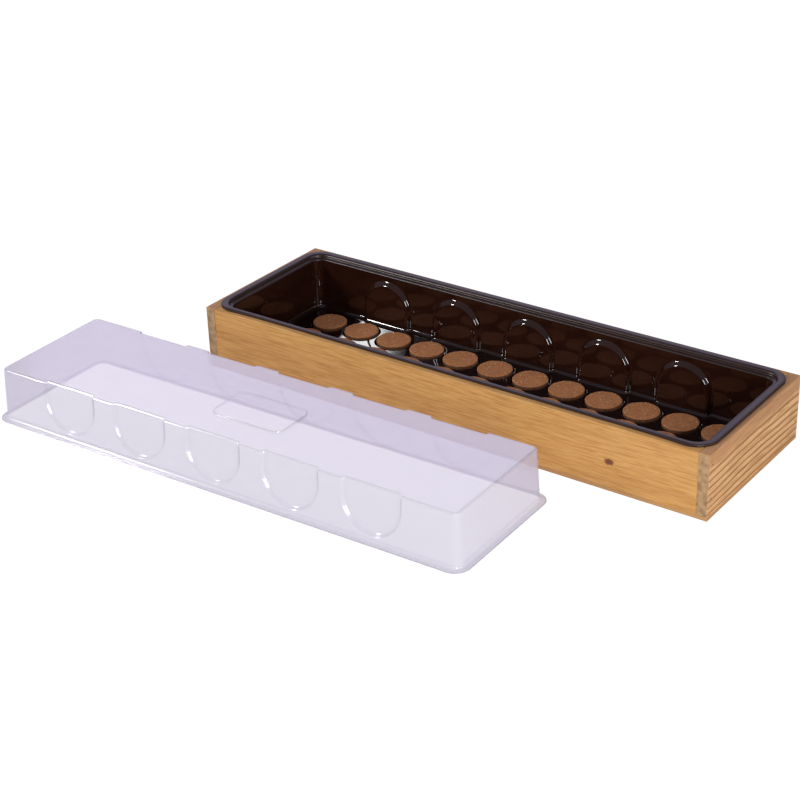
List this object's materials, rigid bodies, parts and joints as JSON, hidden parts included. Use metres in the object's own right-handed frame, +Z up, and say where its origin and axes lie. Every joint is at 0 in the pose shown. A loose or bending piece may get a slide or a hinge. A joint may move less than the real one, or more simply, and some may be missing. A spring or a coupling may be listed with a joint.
{
  "type": "seed starting box",
  "caption": "Wooden seed starting box with a lift-out brown growing tray of round wells holding pressed coir pellets, and a clear domed lid lying open side down in front of it.",
  "frame": {"origin": "centre of the wooden box's flat underside, on the surface that box and lid stand on", "axes": "+X along the box to the right as seen from its front, +Y from the front board to the back board, +Z up"},
  "size_m": [0.6945, 0.3945, 0.0702],
  "materials": {
    "pine": "satin",
    "pine_end_boards": "satin",
    "plywood": "matte",
    "nail_wire": "satin",
    "tray_sheet": "gloss",
    "lid_sheet": "gloss",
    "pressed_coir": "matte"
  },
  "bodies": {
    "wooden_box": {"front_board": "pine", "back_board": "pine", "left_end_board": "pine_end_boards", "right_end_board": "pine_end_boards", "base_panel": "plywood", "left_corner_nails": "nail_wire", "right_corner_nails": "nail_wire", "base_nails": "nail_wire"},
    "growing_tray": {"growing_tray": "tray_sheet"},
    "clear_lid": {"clear_lid": "lid_sheet"},
    "pellet_front_01": {"pellet_front_01": "pressed_coir"},
    "pellet_front_02": {"pellet_front_02": "pressed_coir"},
    "pellet_front_03": {"pellet_front_03": "pressed_coir"},
    "pellet_front_04": {"pellet_front_04": "pressed_coir"},
    "pellet_front_05": {"pellet_front_05": "pressed_coir"},
    "pellet_front_06": {"pellet_front_06": "pressed_coir"},
    "pellet_front_07": {"pellet_front_07": "pressed_coir"},
    "pellet_front_08": {"pellet_front_08": "pressed_coir"},
    "pellet_front_09": {"pellet_front_09": "pressed_coir"},
    "pellet_front_10": {"pellet_front_10": "pressed_coir"},
    "pellet_front_11": {"pellet_front_11": "pressed_coir"},
    "pellet_front_12": {"pellet_front_12": "pressed_coir"},
    "pellet_middle_01": {"pellet_middle_01": "pressed_coir"},
    "pellet_middle_02": {"pellet_middle_02": "pressed_coir"},
    "pellet_middle_03": {"pellet_middle_03": "pressed_coir"},
    "pellet_middle_04": {"pellet_middle_04": "pressed_coir"},
    "pellet_middle_05": {"pellet_middle_05": "pressed_coir"},
    "pellet_middle_06": {"pellet_middle_06": "pressed_coir"},
    "pellet_middle_07": {"pellet_middle_07": "pressed_coir"},
    "pellet_middle_08": {"pellet_middle_08": "pressed_coir"},
    "pellet_middle_09": {"pellet_middle_09": "pressed_coir"},
    "pellet_middle_10": {"pellet_middle_10": "pressed_coir"},
    "pellet_middle_11": {"pellet_middle_11": "pressed_coir"},
    "pellet_middle_12": {"pellet_middle_12": "pressed_coir"},
    "pellet_back_01": {"pellet_back_01": "pressed_coir"},
    "pellet_back_02": {"pellet_back_02": "pressed_coir"},
    "pellet_back_03": {"pellet_back_03": "pressed_coir"},
    "pellet_back_04": {"pellet_back_04": "pressed_coir"},
    "pellet_back_05": {"pellet_back_05": "pressed_coir"},
    "pellet_back_06": {"pellet_back_06": "pressed_coir"},
    "pellet_back_07": {"pellet_back_07": "pressed_coir"},
    "pellet_back_08": {"pellet_back_08": "pressed_coir"},
    "pellet_back_09": {"pellet_back_09": "pressed_coir"},
    "pellet_back_10": {"pellet_back_10": "pressed_coir"},
    "pellet_back_11": {"pellet_back_11": "pressed_coir"},
    "pellet_back_12": {"pellet_back_12": "pressed_coir"}
  },
  "joints": [
    {"name": "clear_lid_lift", "type": "slide", "parent": "wooden_box", "child": "clear_lid", "axis": [0, 0, 1], "range_m": [0, 0.12]},
    {"name": "growing_tray_lift", "type": "slide", "parent": "wooden_box", "child": "growing_tray", "axis": [0, 0, 1], "range_m": [0, 0.08]},
    {"name": "pellet_front_01_lift", "type": "slide", "parent": "growing_tray", "child": "pellet_front_01", "axis": [0, 0, 1], "range_m": [0, 0.08]},
    {"name": "pellet_front_02_lift", "type": "slide", "parent": "growing_tray", "child": "pellet_front_02", "axis": [0, 0, 1], "range_m": [0, 0.08]},
    {"name": "pellet_front_03_lift", "type": "slide", "parent": "growing_tray", "child": "pellet_front_03", "axis": [0, 0, 1], "range_m": [0, 0.08]},
    {"name": "pellet_front_04_lift", "type": "slide", "parent": "growing_tray", "child": "pellet_front_04", "axis": [0, 0, 1], "range_m": [0, 0.08]},
    {"name": "pellet_front_05_lift", "type": "slide", "parent": "growing_tray", "child": "pellet_front_05", "axis": [0, 0, 1], "range_m": [0, 0.08]},
    {"name": "pellet_front_06_lift", "type": "slide", "parent": "growing_tray", "child": "pellet_front_06", "axis": [0, 0, 1], "range_m": [0, 0.08]},
    {"name": "pellet_front_07_lift", "type": "slide", "parent": "growing_tray", "child": "pellet_front_07", "axis": [0, 0, 1], "range_m": [0, 0.08]},
    {"name": "pellet_front_08_lift", "type": "slide", "parent": "growing_tray", "child": "pellet_front_08", "axis": [0, 0, 1], "range_m": [0, 0.08]},
    {"name": "pellet_front_09_lift", "type": "slide", "parent": "growing_tray", "child": "pellet_front_09", "axis": [0, 0, 1], "range_m": [0, 0.08]},
    {"name": "pellet_front_10_lift", "type": "slide", "parent": "growing_tray", "child": "pellet_front_10", "axis": [0, 0, 1], "range_m": [0, 0.08]},
    {"name": "pellet_front_11_lift", "type": "slide", "parent": "growing_tray", "child": "pellet_front_11", "axis": [0, 0, 1], "range_m": [0, 0.08]},
    {"name": "pellet_front_12_lift", "type": "slide", "parent": "growing_tray", "child": "pellet_front_12", "axis": [0, 0, 1], "range_m": [0, 0.08]},
    {"name": "pellet_middle_01_lift", "type": "slide", "parent": "growing_tray", "child": "pellet_middle_01", "axis": [0, 0, 1], "range_m": [0, 0.08]},
    {"name": "pellet_middle_02_lift", "type": "slide", "parent": "growing_tray", "child": "pellet_middle_02", "axis": [0, 0, 1], "range_m": [0, 0.08]},
    {"name": "pellet_middle_03_lift", "type": "slide", "parent": "growing_tray", "child": "pellet_middle_03", "axis": [0, 0, 1], "range_m": [0, 0.08]},
    {"name": "pellet_middle_04_lift", "type": "slide", "parent": "growing_tray", "child": "pellet_middle_04", "axis": [0, 0, 1], "range_m": [0, 0.08]},
    {"name": "pellet_middle_05_lift", "type": "slide", "parent": "growing_tray", "child": "pellet_middle_05", "axis": [0, 0, 1], "range_m": [0, 0.08]},
    {"name": "pellet_middle_06_lift", "type": "slide", "parent": "growing_tray", "child": "pellet_middle_06", "axis": [0, 0, 1], "range_m": [0, 0.08]},
    {"name": "pellet_middle_07_lift", "type": "slide", "parent": "growing_tray", "child": "pellet_middle_07", "axis": [0, 0, 1], "range_m": [0, 0.08]},
    {"name": "pellet_middle_08_lift", "type": "slide", "parent": "growing_tray", "child": "pellet_middle_08", "axis": [0, 0, 1], "range_m": [0, 0.08]},
    {"name": "pellet_middle_09_lift", "type": "slide", "parent": "growing_tray", "child": "pellet_middle_09", "axis": [0, 0, 1], "range_m": [0, 0.08]},
    {"name": "pellet_middle_10_lift", "type": "slide", "parent": "growing_tray", "child": "pellet_middle_10", "axis": [0, 0, 1], "range_m": [0, 0.08]},
    {"name": "pellet_middle_11_lift", "type": "slide", "parent": "growing_tray", "child": "pellet_middle_11", "axis": [0, 0, 1], "range_m": [0, 0.08]},
    {"name": "pellet_middle_12_lift", "type": "slide", "parent": "growing_tray", "child": "pellet_middle_12", "axis": [0, 0, 1], "range_m": [0, 0.08]},
    {"name": "pellet_back_01_lift", "type": "slide", "parent": "growing_tray", "child": "pellet_back_01", "axis": [0, 0, 1], "range_m": [0, 0.08]},
    {"name": "pellet_back_02_lift", "type": "slide", "parent": "growing_tray", "child": "pellet_back_02", "axis": [0, 0, 1], "range_m": [0, 0.08]},
    {"name": "pellet_back_03_lift", "type": "slide", "parent": "growing_tray", "child": "pellet_back_03", "axis": [0, 0, 1], "range_m": [0, 0.08]},
    {"name": "pellet_back_04_lift", "type": "slide", "parent": "growing_tray", "child": "pellet_back_04", "axis": [0, 0, 1], "range_m": [0, 0.08]},
    {"name": "pellet_back_05_lift", "type": "slide", "parent": "growing_tray", "child": "pellet_back_05", "axis": [0, 0, 1], "range_m": [0, 0.08]},
    {"name": "pellet_back_06_lift", "type": "slide", "parent": "growing_tray", "child": "pellet_back_06", "axis": [0, 0, 1], "range_m": [0, 0.08]},
    {"name": "pellet_back_07_lift", "type": "slide", "parent": "growing_tray", "child": "pellet_back_07", "axis": [0, 0, 1], "range_m": [0, 0.08]},
    {"name": "pellet_back_08_lift", "type": "slide", "parent": "growing_tray", "child": "pellet_back_08", "axis": [0, 0, 1], "range_m": [0, 0.08]},
    {"name": "pellet_back_09_lift", "type": "slide", "parent": "growing_tray", "child": "pellet_back_09", "axis": [0, 0, 1], "range_m": [0, 0.08]},
    {"name": "pellet_back_10_lift", "type": "slide", "parent": "growing_tray", "child": "pellet_back_10", "axis": [0, 0, 1], "range_m": [0, 0.08]},
    {"name": "pellet_back_11_lift", "type": "slide", "parent": "growing_tray", "child": "pellet_back_11", "axis": [0, 0, 1], "range_m": [0, 0.08]},
    {"name": "pellet_back_12_lift", "type": "slide", "parent": "growing_tray", "child": "pellet_back_12", "axis": [0, 0, 1], "range_m": [0, 0.08]}
  ]
}
